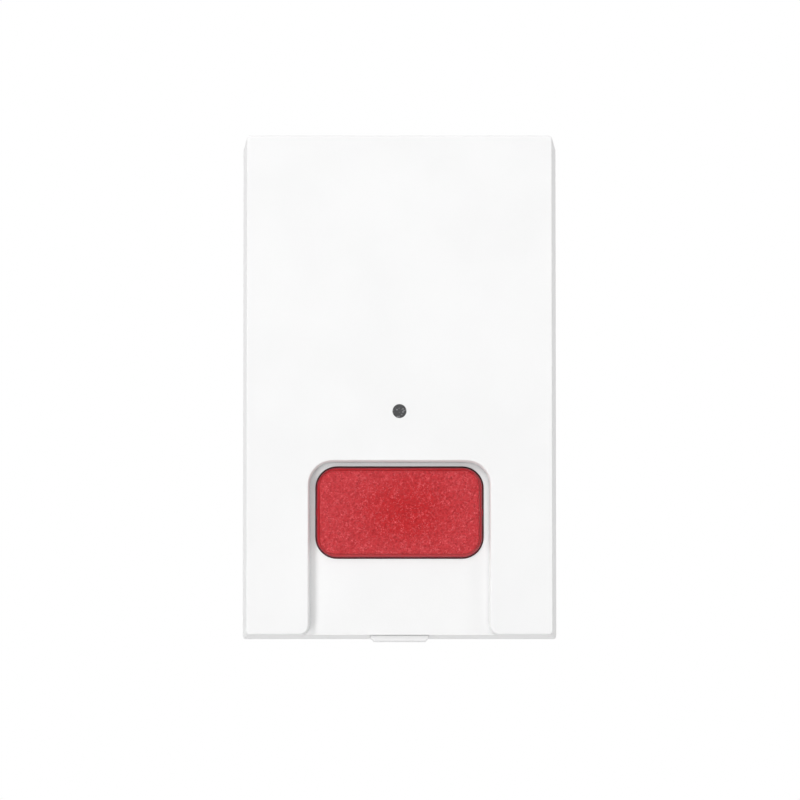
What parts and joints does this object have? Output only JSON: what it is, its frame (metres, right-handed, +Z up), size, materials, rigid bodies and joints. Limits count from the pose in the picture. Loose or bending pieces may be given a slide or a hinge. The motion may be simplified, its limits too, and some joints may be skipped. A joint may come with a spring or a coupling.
{
  "type": "wireless panic button",
  "caption": "Wall-mounted wireless panic button: white tapered housing with a recessed red push button, a small indicator window and a swing-off cover.",
  "frame": {"origin": "centre of the flat wall face of the rear base", "axes": "+Z up along the housing, +Y into the wall, so the button faces -Y; +X to the right seen from the front"},
  "size_m": [0.056, 0.022, 0.089],
  "materials": {
    "white_plastic": "satin",
    "red_plastic": "fine spark-eroded texture",
    "smoked_plastic": "polished, smoked",
    "natural_plastic": "moulded",
    "screw_steel": "zinc plated",
    "spring_steel": "bright wire",
    "board_green": "solder mask over laminate",
    "black_plastic": "moulded",
    "stem_plastic": "moulded",
    "lamp_plastic": "clear diffusing",
    "tin_plate": "tinned",
    "chip_black": "epoxy",
    "can_metal": "drawn can",
    "copper_wire": "enamelled copper",
    "gold_pin": "gold flash",
    "ceramic_chip": "fired",
    "cell_sleeve": "plain sleeve",
    "contact_metal": "nickel plated"
  },
  "bodies": {
    "base": {"rear_base": "white_plastic", "circuit_board": "board_green", "board_screws": "screw_steel", "panic_switch_left": "black_plastic", "panic_switch_right": "black_plastic", "tamper_switch": "black_plastic", "indicator_led": "lamp_plastic", "radio_shield": "tin_plate", "microcontroller": "chip_black", "crystal": "can_metal", "capacitor": "can_metal", "antenna": "copper_wire", "setup_header": "black_plastic", "header_pins": "gold_pin", "chip_resistors": "ceramic_chip", "battery": "cell_sleeve", "battery_contact_positive": "contact_metal", "battery_contact_negative": "contact_metal"},
    "cover": {"front_cover": "white_plastic", "light_pipe": "smoked_plastic", "button_retainer": "natural_plastic", "retainer_screws": "screw_steel", "button_spring_left": "spring_steel", "button_spring_right": "spring_steel"},
    "button": {"button_cap": "red_plastic"},
    "stem_left": {"switch_stem_left": "stem_plastic"},
    "stem_right": {"switch_stem_right": "stem_plastic"},
    "tamper": {"tamper_stem": "stem_plastic"}
  },
  "joints": [
    {"name": "cover_swing", "type": "hinge", "parent": "base", "child": "cover", "pos_m": [0, -0.0025, 0.04367], "axis": [-1, 0, 0], "range_deg": [0, 35]},
    {"name": "button_press", "type": "slide", "parent": "cover", "child": "button", "axis": [0, 1, 0], "range_m": [0, 0.001], "stiffness_N_per_m": 1200, "springref_m": -0.001, "deforming": ["button_spring_left", "button_spring_right"]},
    {"name": "stem_left_press", "type": "slide", "parent": "base", "child": "stem_left", "axis": [0, 1, 0], "range_m": [0, 0.0005]},
    {"name": "stem_right_press", "type": "slide", "parent": "base", "child": "stem_right", "axis": [0, 1, 0], "range_m": [0, 0.0005]},
    {"name": "tamper_release", "type": "slide", "parent": "base", "child": "tamper", "axis": [0, -1, 0], "range_m": [0, 0.0008]}
  ],
  "couplings": [
    {"joint": "stem_left_press", "follows": "button_press", "ratio": 0.5},
    {"joint": "stem_right_press", "follows": "button_press", "ratio": 0.5},
    {"joint": "tamper_release", "follows": "cover_swing", "m_per_rad": 0.0013}
  ]
}
